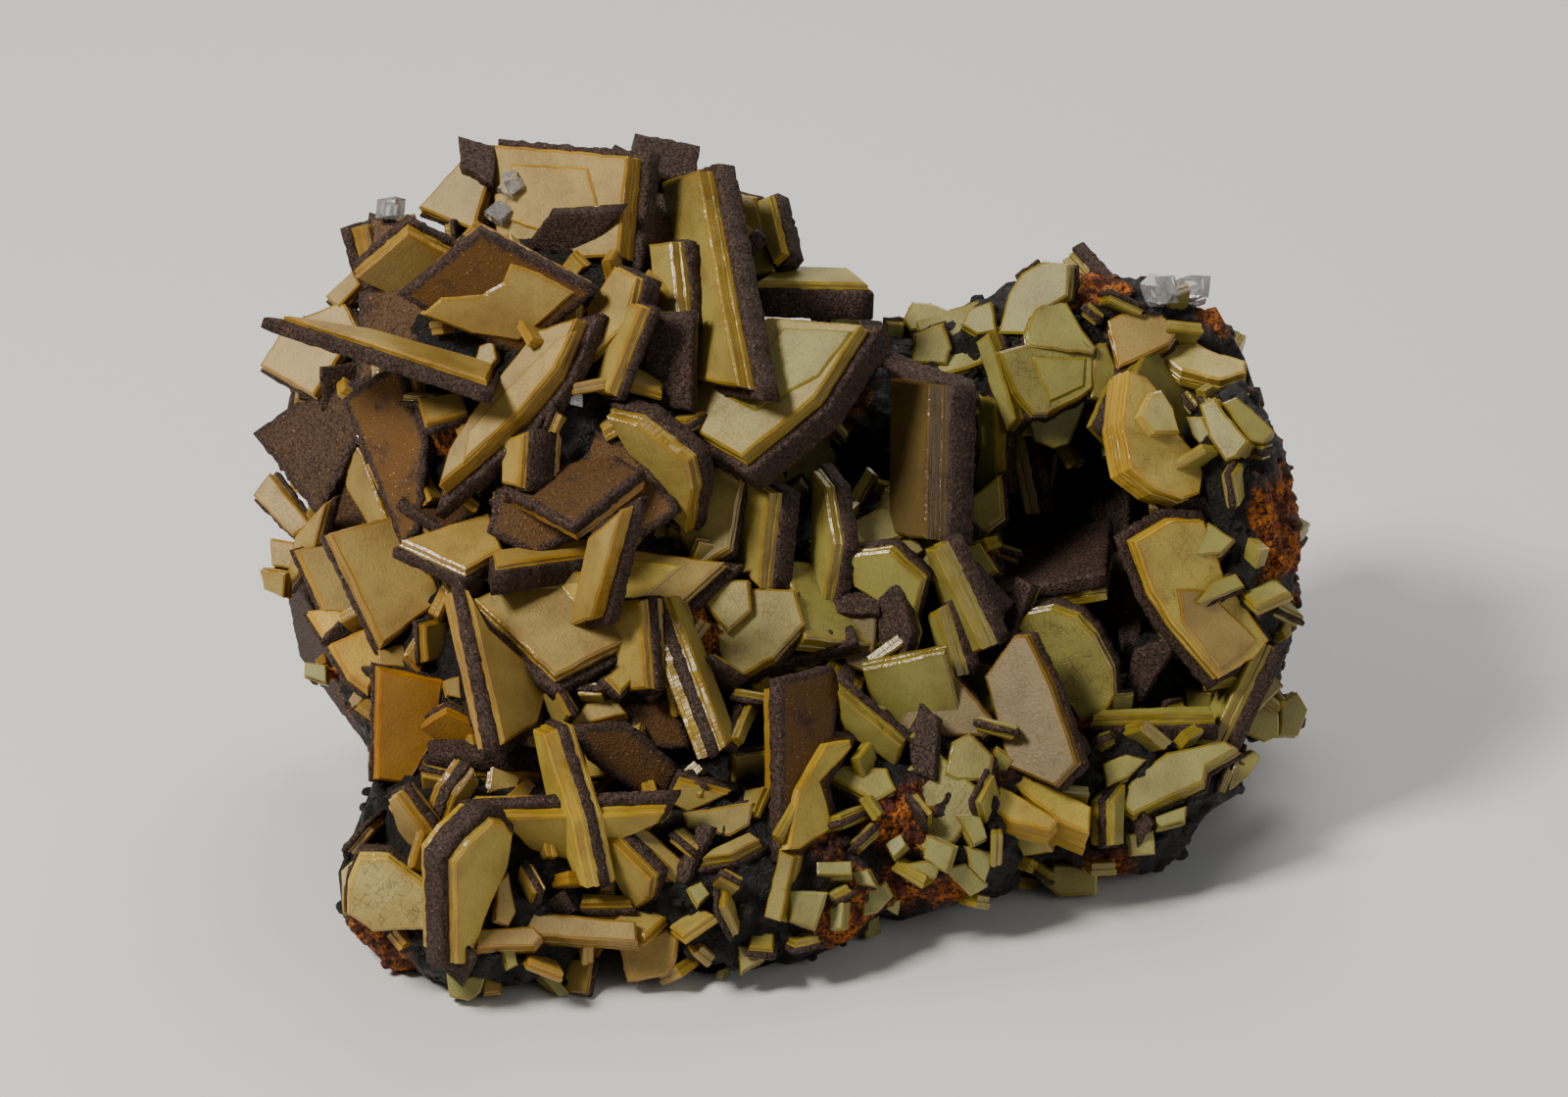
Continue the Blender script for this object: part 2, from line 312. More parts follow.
# Small crystals of the broken lower edge: outline and lean of the face, thickness
marginFaces = [
    ((803, 906, 845, 910, 832, 950, 805, 940), (0, 0.1), 1.4),
    ((832, 878, 870, 877, 871, 893, 833, 893), (0.1, 0.4), 1.6),
    ((866, 888, 886, 886, 896, 906, 872, 902), (-0.2, 0.1), 1.2),
    ((880, 906, 905, 899, 913, 914, 896, 932, 879, 936), (0.1, 0), 1.4),
    ((900, 926, 921, 914, 917, 936), (0.2, -0.2), 1.2),
    ((901, 860, 920, 849, 926, 862, 911, 876), (-0.2, 0.3), 1.4),
    ((924, 880, 965, 874, 956, 896, 926, 899), (0.1, 0.1), 1.4),
    ((944, 850, 976, 864, 966, 893, 941, 876), (-0.2, 0), 1.4),
    ((960, 886, 986, 879, 1010, 905, 990, 916), (0.1, -0.2), 1.4),
    ((974, 830, 1000, 827, 1009, 855, 994, 862), (0.2, 0.3), 1.4),
    ((986, 862, 1016, 868, 1006, 902, 988, 884), (0.3, 0), 1.6),
    ((547, 990, 558, 983, 591, 1022, 582, 1030), (0.3, 0.3), 1.6),
    ((551, 1020, 573, 1014, 579, 1036, 556, 1034), (-0.1, 0.1), 1.4),
    ((454, 990, 470, 997, 498, 992, 490, 1013, 478, 1022, 458, 1018), (0, 0), 1.6),
    ((752, 964, 776, 963, 780, 978, 755, 994), (0, 0.2), 1.4),
    ((730, 990, 741, 986, 738, 1003, 729, 1002), (-0.3, 0), 1.2),
    ((310, 674, 333, 677, 334, 698, 309, 690), (-0.1, 0.2), 1.2),
    ((1178, 832, 1212, 820, 1210, 838, 1180, 846), (0, 0.3), 1.2),
    ((1150, 850, 1178, 846, 1180, 872, 1154, 874), (0.1, 0), 1.2),
    ((845, 915, 862, 920, 860, 948, 846, 950), (-0.4, 0.1), 1.2),
    ((700, 905, 716, 898, 726, 912, 712, 926), (0.1, 0.2), 1.2),
    ((512, 968, 526, 966, 530, 984, 518, 990), (0.2, 0.1), 1.2),
]
marginRows = [(f"margin_{i:02}", flat, lean, (thick, 0, 0))
              for i, (flat, lean, thick) in enumerate(marginFaces, 1)]

# Where filler crystals go: middle and half sizes on the sheet, and how many are tried
fillerZones = [
    ((560, 400), (220, 200), 10),
    ((560, 640), (180, 60), 3),
    ((570, 800), (130, 60), 3),
    ((870, 560), (80, 140), 5),
    ((960, 760), (100, 60), 2),
    ((1080, 340), (120, 40), 2),
]

# Outline of the whole specimen on the sheet
wholeOutline = [
    (250, 505), (262, 440), (262, 370), (290, 325), (345, 300), (360, 250), (385, 205), (425, 205),
    (470, 150), (510, 135), (580, 130), (650, 140), (710, 150), (745, 165), (790, 195), (820, 245),
    (885, 290), (895, 330), (925, 305), (1010, 305), (1040, 270), (1080, 262), (1130, 280),
    (1190, 280), (1228, 290), (1270, 365), (1285, 410), (1310, 445), (1325, 500), (1330, 640),
    (1315, 665), (1335, 740), (1285, 765), (1280, 800), (1230, 830), (1200, 880), (1130, 905),
    (1070, 925), (1000, 915), (900, 945), (820, 980), (740, 1000), (690, 995), (580, 1035),
    (550, 1030), (490, 1020), (400, 990), (350, 940), (345, 890), (380, 800), (372, 745),
    (310, 690), (270, 600), (262, 545),
]


# Places on the sheet and on the rock
def sight(x, y):
    across = (x - sheet["middle"][0]) * sheet["unit"]
    upward = (sheet["middle"][1] - y) * sheet["unit"]
    return sheetOrigin + toRight * across + toTop * upward - eye


def tilted(lean):
    across, upward = lean
    forward = math.sqrt(1 - across * across - upward * upward)
    return toRight * across + toTop * upward + toEye * forward


def lumpHit(line, lump):
    # where a line of sight meets a lump, and how far it passes from the lump's middle
    centre, radii = lump
    start = Vector([(eye[i] / mm - centre[i]) / radii[i] for i in range(3)])
    step = Vector([line[i] / mm / radii[i] for i in range(3)])
    nearest = -start.dot(step) / step.dot(step)
    miss = (start + step * nearest).length
    if miss >= 1:
        return nearest, miss
    return nearest - math.sqrt((1 - miss * miss) / step.dot(step)), miss


def seat(line, lumps):  # where a line of sight meets the rock, as a share of the way to the sheet
    hits = [lumpHit(line, lump) for lump in lumps]
    inside = [reach for reach, miss in hits if miss < 1]
    if inside:
        return min(inside)
    return min(hits, key=lambda hit: hit[1])[0]


def placeOne(row, placed, lumps):
    # moves a face's outline from the sheet back to where the crystal sits on the rock
    name, flat, lean, layers = row[:4]
    last = row[4] if len(row) > 4 else 0
    lines = [sight(flat[i], flat[i + 1]) for i in range(0, len(flat), 2)]
    upright = tilted(lean)
    distance = sheet["eyeDistance"]
    if isinstance(last, tuple):
        host, proud = placed[last[0]], last[1] * mm
        upright = host["upright"]
        reach = upright.dot(host["corners"][0] + upright * proud - eye)
    else:
        slopes = [upright.dot(line) for line in lines]
        reach = max(slope * (seat(line, lumps) + seating["bury"] * mm / distance)
                    for slope, line in zip(slopes, lines))
        heart = sum(lines, Vector()) / len(lines)
        for line in [heart] + [(heart + line) / 2 for line in lines]:
            start = seat(line, lumps) - seating["clear"] * mm / distance
            reach = max(reach, upright.dot(line) * start)
        middle = sum(slopes) / len(slopes)
        reach -= middle * last * seating["liftShare"] * mm / distance
    corners = [eye + line * (reach / upright.dot(line)) for line in lines]
    return {"name": name, "corners": corners, "upright": upright, "layers": layers,
            "sheetX": sum(flat[0::2]) * 2 / len(flat)}


def placeAll(rows, lumps):
    placed = {}
    for row in rows:
        placed[row[0]] = placeOne(row, placed, lumps)
    return placed


def middleOf(corners):
    return sum(corners, Vector()) / len(corners)


def areaVector(corners):
    middle = middleOf(corners)
    total = Vector()
    for i, corner in enumerate(corners):
        total += (corners[i - 1] - middle).cross(corner - middle) / 2
    return total


def widened(corners, upright, margin):
    turn = math.copysign(1, areaVector(corners).dot(upright))
    grown = []
    for i, corner in enumerate(corners):
        before = (corner - corners[i - 1]).normalized().cross(upright) * turn
        after = (corners[(i + 1) % len(corners)] - corner).normalized().cross(upright) * turn
        share = margin / max(seating["pointed"], 1 + before.dot(after))
        grown.append(corner + (before + after) * share)
    return grown


def spanOf(corners):
    middle = middleOf(corners)
    return max((corner - middle).length for corner in corners)


def onSheet(place):
    line = place - eye
    line = line * (sheet["eyeDistance"] / -toEye.dot(line))
    ahead = eye + line - sheetOrigin
    return (sheet["middle"][0] + ahead.dot(toRight) / sheet["unit"],
            sheet["middle"][1] - ahead.dot(toTop) / sheet["unit"])


def withinOutline(place):
    x, y = onSheet(place)
    inside = False
    for i, (x2, y2) in enumerate(wholeOutline):
        x1, y1 = wholeOutline[i - 1]
        if (y1 > y) != (y2 > y) and x < x1 + (y - y1) / (y2 - y1) * (x2 - x1):
            inside = not inside
    return inside


# Filler crystals: square ones of chance size and lean, behind the ones placed by hand
fillerShape = {"seed": 5, "size": (42, 70), "lean": (0.1, 0.8), "spacing": 62, "depth": 5.0,
               "layers": [(1.2, 1.2, 0), (0, 1.2, 1.2), (1.0, 1.2, 1.0), (2.0, 0, 0)]}


def squareOutline(x, y, size, spin, lean):
    upright = tilted(lean)
    side = upright.cross(toTop).normalized()
    rise = side.cross(upright)
    flat = []
    for i in range(4):
        turn = spin + i * math.pi / 2
        corner = side * math.cos(turn) + rise * math.sin(turn)
        flat += [x + size * corner.dot(toRight), y - size * corner.dot(toTop)]
    return tuple(flat)


def fillerRows():
    dice = random.Random(fillerShape["seed"])
    rows = []
    spots = []
    for centre, radii, count in fillerZones:
        for _ in range(count):
            turn = dice.uniform(0, 2 * math.pi)
            reach = math.sqrt(dice.random())
            x = centre[0] + radii[0] * reach * math.cos(turn)
            y = centre[1] + radii[1] * reach * math.sin(turn)
            size = dice.uniform(*fillerShape["size"])
            spin = dice.uniform(0, math.pi / 2)
            leanTurn = dice.uniform(0, 2 * math.pi)
            leanShare = dice.uniform(*fillerShape["lean"])
            lean = (leanShare * math.cos(leanTurn), leanShare * math.sin(leanTurn))
            layers = dice.choice(fillerShape["layers"])
            if any(math.hypot(x - a, y - b) < fillerShape["spacing"] for a, b in spots):
                continue
            spots.append((x, y))
            rows.append((f"filler_{len(rows)}", squareOutline(x, y, size, spin, lean), lean,
                         layers, -fillerShape["depth"]))
    return rows


# Crystals of the hidden back, which stand on the rock
backShape = {"seed": 11, "tries": 2500, "spacing": 10.5, "size": (7.0, 11.0), "stand": 0.25,
             "spin": 0.5, "slope": 0.45, "facing": 0.1, "lowest": 1.5, "inside": 0.9,
             "layers": [(1.6, 1.6, 0), (1.4, 1.6, 1.2), (0, 1.6, 1.6), (1.8, 1.2, 0)]}


def insideLump(place, lump):
    centre, radii = lump
    return sum(((place[i] / mm - centre[i]) / radii[i]) ** 2 for i in range(3)) < backShape["inside"]


def standing(place, out, size, stand, lie, slope, spin):
    # the face of a square crystal that stands on the rock: its middle, direction and corners
    along = out.orthogonal().normalized()
    across = out.cross(along)
    edge = along * math.cos(lie) + across * math.sin(lie)
    upright = (out.cross(edge) + out * slope).normalized()
    rise = (out - upright * out.dot(upright)).normalized()
    edge = rise.cross(upright)
    heart = place + rise * (size * stand)
    corners = []
    for i in range(4):
        turn = spin + math.pi / 4 + i * math.pi / 2
        corners.append(heart + (edge * math.cos(turn) + rise * math.sin(turn)) * size)
    return heart, upright, corners


def backCrystals():
    dice = random.Random(backShape["seed"])
    crystals = {}
    spots = []
    for _ in range(backShape["tries"]):
        centre, radii = dice.choice(lumps)
        way = Vector([dice.gauss(0, 1) for _ in range(3)]).normalized()
        place = Vector([(centre[i] + way[i] * radii[i]) * mm for i in range(3)])
        out = Vector([way[i] / radii[i] for i in range(3)]).normalized()
        size = dice.uniform(*backShape["size"]) * mm
        spin = dice.uniform(-backShape["spin"], backShape["spin"])
        lie = dice.uniform(0, math.pi)
        slope = dice.gauss(0, backShape["slope"])
        layers = dice.choice(backShape["layers"])
        if out.dot(toEye) > backShape["facing"] or place.z < backShape["lowest"] * mm + size:
            continue
        if any(insideLump(place, lump) for lump in lumps if lump[0] != centre):
            continue
        if any((place - spot).length < backShape["spacing"] * mm for spot in spots):
            continue
        heart, upright, corners = standing(place, out, size, backShape["stand"], lie, slope, spin)
        if not all(withinOutline(corner) for corner in corners):
            continue
        spots.append(place)
        name = f"back_{len(crystals)}"
        crystals[name] = {"name": name, "corners": corners, "upright": upright, "layers": layers,
                          "plain": True, "sheetX": onSheet(heart)[0]}
    return crystals


class Reading:
    # a shader socket that can be added, multiplied and so on; each sum is a Math node
    def __init__(self, paint, socket):
        self.paint = paint
        self.socket = socket

    def sum(self, operation, first, second):
        return self.paint.node("ShaderNodeMath", {"operation": operation}, {0: first, 1: second})

    def __add__(self, other):
        return self.sum("ADD", self, other)

    __radd__ = __add__

    def __sub__(self, other):
        return self.sum("SUBTRACT", self, other)

    def __rsub__(self, other):
        return self.sum("SUBTRACT", other, self)

    def __mul__(self, other):
        return self.sum("MULTIPLY", self, other)

    __rmul__ = __mul__

    def over(self, low, high, share=None):  # 0 below low, 1 or the share above high
        mask = self.paint.node("ShaderNodeMapRange", {"interpolation_type": "SMOOTHSTEP"},
                               {"Value": self, "From Min": low, "From Max": high})
        return mask if share is None else mask * share


class Paint:
    # one material and its nodes
    def __init__(self, name, fixed):
        self.material = bpy.data.materials.new(name)
        self.material.use_nodes = True
        self.tree = self.material.node_tree
        self.shader = self.tree.nodes["Principled BSDF"]
        for socket, value in fixed.items():
            self.shader.inputs[socket].default_value = value

    def node(self, kind, settings=None, values=None, output=0):
        made = self.tree.nodes.new(kind)
        for key, value in (settings or {}).items():
            setattr(made, key, value)
        for key, value in (values or {}).items():
            self.feed(made.inputs[key], value)
        return Reading(self, made.outputs[output])

    def feed(self, socket, value):
        if isinstance(value, Reading):
            self.tree.links.new(value.socket, socket)
        else:
            socket.default_value = value

    def attribute(self, name, output="Fac"):
        return self.node("ShaderNodeAttribute", {"attribute_name": name}, output=output)

    def mixed(self, share, first, second, blend="MIX"):
        return self.node("ShaderNodeMix", {"data_type": "RGBA", "blend_type": blend},
                         {0: share, 6: first, 7: second}, output=2)

    def stretched(self, vector, scale):
        return self.node("ShaderNodeVectorMath", {"operation": "MULTIPLY"}, {0: vector, 1: scale})

    def millimetres(self):  # places on a piece
        return self.stretched(self.node("ShaderNodeTexCoord", output="Object"), (1 / mm,) * 3)

    def parts(self, vector):
        made = self.node("ShaderNodeSeparateXYZ", values={0: vector}).socket.node
        return [Reading(self, made.outputs[i]) for i in range(3)]

    def noise(self, vector, scale, detail=2.0, rough=0.5):
        return self.node("ShaderNodeTexNoise", None,
                         {"Vector": vector, "Scale": scale, "Detail": detail, "Roughness": rough})

    def cells(self, vector, scale):
        return self.node("ShaderNodeTexVoronoi", {"feature": "F1"},
                         {"Vector": vector, "Scale": scale}, output="Distance")

    def rims(self, vector, scale, chance):  # distance to the edge between cells
        return self.node("ShaderNodeTexVoronoi", {"feature": "DISTANCE_TO_EDGE"},
                         {"Vector": vector, "Scale": scale, "Randomness": chance})

    def finish(self, colour, roughness, height, depth):
        self.feed(self.shader.inputs["Base Color"], colour)
        self.feed(self.shader.inputs["Roughness"], roughness)
        bump = self.node("ShaderNodeBump", None,
                         {"Height": height, "Distance": depth, "Strength": 1.0})
        self.feed(self.shader.inputs["Normal"], bump)
        return self.material


# Pale wulfenite. Single numbers of patterns are repeats per millimetre. A mask has the
# reading where it starts, the one where it is full, and in some its share.
paleLook = {
    "fixed": {"Subsurface Weight": 0.22, "Subsurface Radius": (1.0, 0.55, 0.18),
              "Subsurface Scale": 0.0014, "IOR": 1.58},
    "borderTint": (1.08, 0.86, 0.34, 1), "border": 0.75, "amber": (0.30, 0.125, 0.006, 1),
    "deepTint": (0.60, 0.51, 0.30, 1), "dark": (0.08, 0.05, 0.02, 1),
    "cloud": 0.16, "cloudMask": (0.38, 0.68, 0.65), "patch": 0.5, "patchMask": (0.45, 0.75, 0.35),
    "crack": 1.35, "crackChance": 0.55, "crackMask": (0.055, 0.0), "crackPatch": (0.38, 0.6),
    "crackShare": 0.6, "fleck": 1.5, "fleckMask": (0.17, 0.08), "fleckCloud": (0.45, 0.7),
    "fleckShare": 0.45, "grain": 2.8, "grainMask": (0.50, 0.70, 0.15), "speck": 4.5,
    "speckMask": (0.54, 0.64), "speckShare": 0.28, "speckled": 0.15, "band": (2.2, 2.2, 0.15),
    "stripe": (0.12, 0.12, 5.0), "stripeMask": (0.45, 0.62), "stripeShare": 0.4,
    "roughness": 0.44, "sideGloss": 0.33, "bump": 0.10 * mm,
}


def palePaint():
    look = paleLook
    paint = Paint("tablet_pale", look["fixed"])
    local = paint.attribute("local", "Vector")  # millimetres along, across and into the crystal
    tone = paint.attribute("tone", "Color")
    amber, crackle, speckle = paint.parts(paint.attribute("habit", "Vector"))
    edge = paint.attribute("edge")  # 1 on the sides and the border, 0 on the middle of a face
    side = edge.over(0.95, 1.0)
    cloud = paint.noise(local, look["cloud"], 3.0)
    patches = paint.noise(local, look["patch"], 3.0, 0.6)
    grain = paint.noise(local, look["grain"], 3.0, 0.7)
    specks = paint.noise(local, look["speck"], 2.0, 0.6)
    stripes = paint.noise(paint.stretched(local, look["stripe"]), 1.0, 3.0, 0.65)
    bands = paint.noise(paint.stretched(local, look["band"]), 1.0, 2.0, 0.6)
    cracks = paint.rims(local, look["crack"], look["crackChance"]).over(*look["crackMask"])
    cracks = cracks * patches.over(*look["crackPatch"])
    flecks = paint.cells(local, look["fleck"]).over(*look["fleckMask"])
    flecks = flecks * cloud.over(*look["fleckCloud"])
    deep = paint.mixed(1.0, tone, look["deepTint"], "MULTIPLY")
    clouded = cloud.over(*look["cloudMask"]) + patches.over(*look["patchMask"])
    colour = paint.mixed(clouded, tone, deep)
    colour = paint.mixed(amber * (1 - edge * 0.5), colour, look["amber"])
    rim = paint.mixed(1.0, colour, look["borderTint"], "MULTIPLY")
    colour = paint.mixed(edge * edge * look["border"], colour, rim)
    striped = edge.over(0.9, 1.0) * stripes.over(*look["stripeMask"])
    colour = paint.mixed(striped * look["stripeShare"], colour, look["dark"])
    cracked = cracks * crackle * (1 - edge.over(0.6, 0.9))
    colour = paint.mixed(cracked * look["crackShare"], colour, look["dark"])
    dotted = specks.over(*look["speckMask"]) * (look["speckShare"] + speckle * look["speckled"])
    marks = flecks * look["fleckShare"] + (grain.over(*look["grainMask"]) + dotted)
    colour = paint.mixed(marks * (1 - side * 0.7), colour, look["dark"])
    roughness = look["roughness"] + grain * 0.2 - side * look["sideGloss"]
    height = (grain * 0.6 - cracked * 0.5) * (1 - side) + (stripes * 0.9 + bands * 0.6) * side
    return paint.finish(colour, roughness, height, look["bump"])


# The rough brown growth zone, sugary with golden glints, amber where light comes through
brownLook = {
    "fixed": {"IOR": 1.5, "Specular IOR Level": 0.18},
    "dark": (0.011, 0.0065, 0.004, 1), "light": (0.070, 0.041, 0.030, 1),
    "amber": (0.125, 0.054, 0.005, 1), "gold": (0.60, 0.36, 0.08, 1),
    "sugar": 3.2, "sugarMask": (0.0, 0.45), "shade": 3.0, "shadeMask": (0.30, 0.70),
    "cloud": 0.35, "cloudMask": (0.22, 0.5), "glint": 2.4, "glintMask": (0.22, 0.12),
    "glintShade": (0.5, 0.62), "roughness": 0.66, "bump": 0.22 * mm,
}


def brownPaint():
    look = brownLook
    paint = Paint("tablet_brown", look["fixed"])
    local = paint.attribute("local", "Vector")
    amber = paint.parts(paint.attribute("habit", "Vector"))[0]
    edge = paint.attribute("edge")
    sugar = paint.cells(local, look["sugar"])
    shade = paint.noise(local, look["shade"], 3.0, 0.7)
    cloud = paint.noise(local, look["cloud"], 3.0)
    colour = paint.mixed(shade.over(*look["shadeMask"]), look["dark"], look["light"])
    inner = amber * (1 - edge.over(0.05, 0.9)) * cloud.over(*look["cloudMask"])
    colour = paint.mixed(inner * (0.95 - shade * 0.4), colour, look["amber"])
    glints = paint.cells(local, look["glint"]).over(*look["glintMask"])
    glints = glints * shade.over(*look["glintShade"])
    colour = paint.mixed(glints * (0.35 + inner * 0.5), colour, look["gold"])
    roughness = look["roughness"] - glints * 0.5 - inner * 0.15
    height = (1 - sugar.over(*look["sugarMask"])) * 0.7 + shade * 0.5
    return paint.finish(colour, roughness, height * (1 - inner * 0.7), look["bump"])


rockLook = {
    "fixed": {"IOR": 1.6, "Specular IOR Level": 0.3}, "black": (0.0050, 0.0036, 0.0024, 1),
    "grey": (0.034, 0.026, 0.016, 1), "rust": (0.50, 0.135, 0.008, 1),
    "brick": (0.12, 0.021, 0.005, 1), "fine": 2.6, "broad": 0.5, "lump": 0.9,
    "greyMask": (0.5, 0.75, 0.8), "rustStart": 0.75, "rustMask": (0.0, 0.35),
    "brickMask": (0.42, 0.6), "poreMask": (0.40, 0.54), "roughness": 0.22, "bump": 0.75 * mm,
}


def rockPaint():
    look = rockLook
    paint = Paint("gossan", look["fixed"])
    place = paint.millimetres()
    rust = paint.attribute("rust")
    fine = paint.noise(place, look["fine"], 4.0, 0.65)
    broad = paint.noise(place, look["broad"], 3.0, 0.6)
    bumps = paint.cells(place, look["lump"])
    colour = paint.mixed(fine.over(*look["greyMask"]), look["black"], look["grey"])
    rusty = rust * 1.3 + broad * 0.5 + fine * 0.5 - look["rustStart"]
    rusty = rusty.over(*look["rustMask"])
    oxide = paint.mixed(broad.over(*look["brickMask"]), look["brick"], look["rust"])
    oxide = paint.mixed(fine.over(*look["poreMask"]), look["black"], oxide)
    colour = paint.mixed(rusty, colour, oxide)
    roughness = look["roughness"] + fine * 0.5 + rusty * 0.4
    return paint.finish(colour, roughness, (1 - bumps) * 0.5 + fine * 0.9, look["bump"])


clearLook = {
    "fixed": {"Transmission Weight": 0.88, "IOR": 1.55}, "clean": (1.0, 0.99, 0.98, 1),
    "milky": (0.94, 0.90, 0.89, 1), "veil": 1.4, "milkyMask": (0.45, 0.7),
    "roughness": 0.03, "dullMask": (0.5, 0.7, 0.22), "bump": 0.01 * mm,
}


def clearPaint():
    look = clearLook
    paint = Paint("calcite_clear", look["fixed"])
    veil = paint.noise(paint.millimetres(), look["veil"], 3.0, 0.6)
    colour = paint.mixed(veil.over(*look["milkyMask"]), look["clean"], look["milky"])
    roughness = look["roughness"] + veil.over(*look["dullMask"])
    return paint.finish(colour, roughness, veil, look["bump"])


paints = {"pale": palePaint(), "brown": brownPaint(), "rock": rockPaint(), "clear": clearPaint()}
print("materials made")


# Crystals: thicknesses, steps and widths are in millimetres
paleShape = {"step": 1.3, "wobble": 0.07, "chamfer": 0.24, "border": 0.9, "share": 0.58,
             "widen": 0.12, "overlap": 0.3, "stepOverlap": 0.25, "shift": 90, "crackle": 0.4,
             "hiddenAmber": 0.6, "hiddenCrackle": 0.7}
brownShape = {"step": 0.55, "wobble": 0.12, "chamfer": 0.42, "border": 0.6, "grain": 0.14,
              "lump": 0.42, "overlap": 0.05}
sideShape = {"sharpest": 0.15, "spare": 1.1, "extra": 0.25, "least": 0.4, "slide": 0.35,
             "chamferDepth": 0.4, "chamferSize": 0.25, "borderSize": 0.4, "chamferRise": 0.75}
toneRun = {"tanUpTo": 560, "oliveFrom": 890, "chance": (0.9, 1.1)}
tones = {
    "tan": (0.32, 0.215, 0.042), "page": (0.50, 0.37, 0.075), "olive": (0.245, 0.220, 0.042),
    "cream": (0.46, 0.375, 0.120), "gold": (0.54, 0.335, 0.028), "yellow": (0.40, 0.300, 0.038),
    "dusk": (0.15, 0.100, 0.022), "glass": (0.25, 0.240, 0.065), "leaf": (0.33, 0.175, 0.010),
    "deep": (0.10, 0.068, 0.010),
}
toneNames = {
    "cream": "cream cream_side gold_step rolled", "page": "gold_page", "leaf": "leaf leaf_step",
    "yellow": "front_thick slim blade_patch table right_door cream_block cream_step apron_step",
    "gold": "orange_tan orange_back", "dusk": "sail deep_tan mottled", "deep": "tall_blade",
    "tan": "pale_flat page left_slant brow_patch ramp_step crown_step door_sheet",
    "olive": "tan_step shield_step",
}
habits = {  # amber, crackle, speckle
    "cream": (0, 1, 0), "shield": (0, 1, 0), "moon": (0, 1, 0), "gold_page": (0, 0.6, 0),
    "right_door": (0, 0.7, 0), "big_tan": (0, 0.3, 1), "lower_tan": (0, 0.5, 0),
    "fan_two": (0.25, 0, 0), "fan_four": (1, 0, 0), "fan_three": (0.35, 0, 0), "brow": (0.9, 0, 0),
    "left_amber": (0.5, 0, 0), "front_blade": (0.7, 0, 0), "under_arrow": (0.8, 0, 0),
    "green_face": (0.7, 0, 0), "wedge": (0.6, 0, 0), "upright": (0.7, 0, 0), "leaf": (0.5, 0, 0),
    "leaf_step": (0.3, 0, 0), "tall_blade": (0.05, 0, 0), "valley_three": (0.6, 0, 0),
}


def toneOf(crystal, dice):
    name = crystal["name"]
    named = [tone for tone, members in toneNames.items() if name in members.split()]
    if named:
        colour = Vector(tones[named[0]])
    elif name.startswith("margin"):
        colour = Vector(tones["glass"])
    else:
        share = (crystal["sheetX"] - toneRun["tanUpTo"]) / (toneRun["oliveFrom"] - toneRun["tanUpTo"])
        colour = Vector(tones["tan"]).lerp(Vector(tones["olive"]), min(1, max(0, share)))
    return colour * dice.uniform(*toneRun["chance"])


def meshFrom(name, bm):
    mesh = bpy.data.meshes.new(name)
    bm.to_mesh(mesh)
    bm.free()
    return mesh


def joinInto(home, bm):
    mesh = meshFrom("layer", bm)
    home.from_mesh(mesh)
    bpy.data.meshes.remove(mesh)


def inScene(name, data):
    item = bpy.data.objects.new(name, data)
    bpy.context.scene.collection.objects.link(item)
    return item


def newCrystalMesh():
    bm = bmesh.new()
    marks = {"local": bm.verts.layers.float_vector.new("local"),
             "habit": bm.verts.layers.float_vector.new("habit"),
             "tone": bm.verts.layers.float_color.new("tone"),
             "edge": bm.verts.layers.float.new("edge"),
             "rust": bm.verts.layers.float.new("rust")}
    return bm, marks


def cornerRoom(ring, i, inset):
    # length of side near a corner that an inset of the outline uses up
    before = (ring[i - 1] - ring[i]).normalized()
    after = (ring[(i + 1) % len(ring)] - ring[i]).normalized()
    half = math.acos(max(-1, min(1, before.dot(after)))) / 2
    room = inset / math.tan(max(sideShape["sharpest"], half))
    return room * sideShape["spare"] + sideShape["extra"] * mm


def unevenSides(bm, face, upright, shape, inset, dice):
    # cuts the sides into short lengths and moves the cuts a little, as on grown faces
    places = [vert.co.copy() for vert in face.verts]
    heart = middleOf(places)
    for edge in face.edges[:]:
        ends = [vert.co.copy() for vert in edge.verts]
        rooms = [cornerRoom(places, places.index(end), inset) for end in ends]
        along = ends[1] - ends[0]
        free = along.length - sum(rooms)
        if free < shape["step"] * sideShape["least"] * mm:
            continue
        cuts = int(free / (shape["step"] * mm)) + 1
        along.normalize()
        outward = along.cross(upright)
        if outward.dot(ends[0] - heart) < 0:
            outward.negate()
        made = bmesh.ops.subdivide_edges(bm, edges=[edge], cuts=cuts)
        inner = [item for item in made["geom_inner"] if isinstance(item, bmesh.types.BMVert)]
        inner.sort(key=lambda vert: (vert.co - ends[0]).dot(along))
        for k, vert in enumerate(inner):
            slide = (k + 0.5 + dice.uniform(-sideShape["slide"], sideShape["slide"])) / cuts
            vert.co = ends[0] + along * (rooms[0] + free * slide)
            vert.co += outward * dice.uniform(-1, 1) * shape["wobble"] * mm


def slab(bm, corners, upright, front, back, shape, inset, dice):
    # a flat slab between two depths; returns its front and back faces
    face = bm.faces.new([bm.verts.new(corner - upright * front) for corner in corners])
    unevenSides(bm, face, upright, shape, inset, dice)
    face = bm.faces[:][0]
    grown = bmesh.ops.extrude_face_region(bm, geom=[face])["geom"]
    moved = [item for item in grown if isinstance(item, bmesh.types.BMVert)]
    bmesh.ops.translate(bm, verts=moved, vec=upright * (front - back))
    other = [item for item in grown if isinstance(item, bmesh.types.BMFace)][0]
    bmesh.ops.recalc_face_normals(bm, faces=bm.faces)
    return face, other


def breadth(corners):
    around = sum((a - b).length for a, b in zip(corners, corners[1:] + corners[:1]))
    return areaVector(corners).length / around / mm


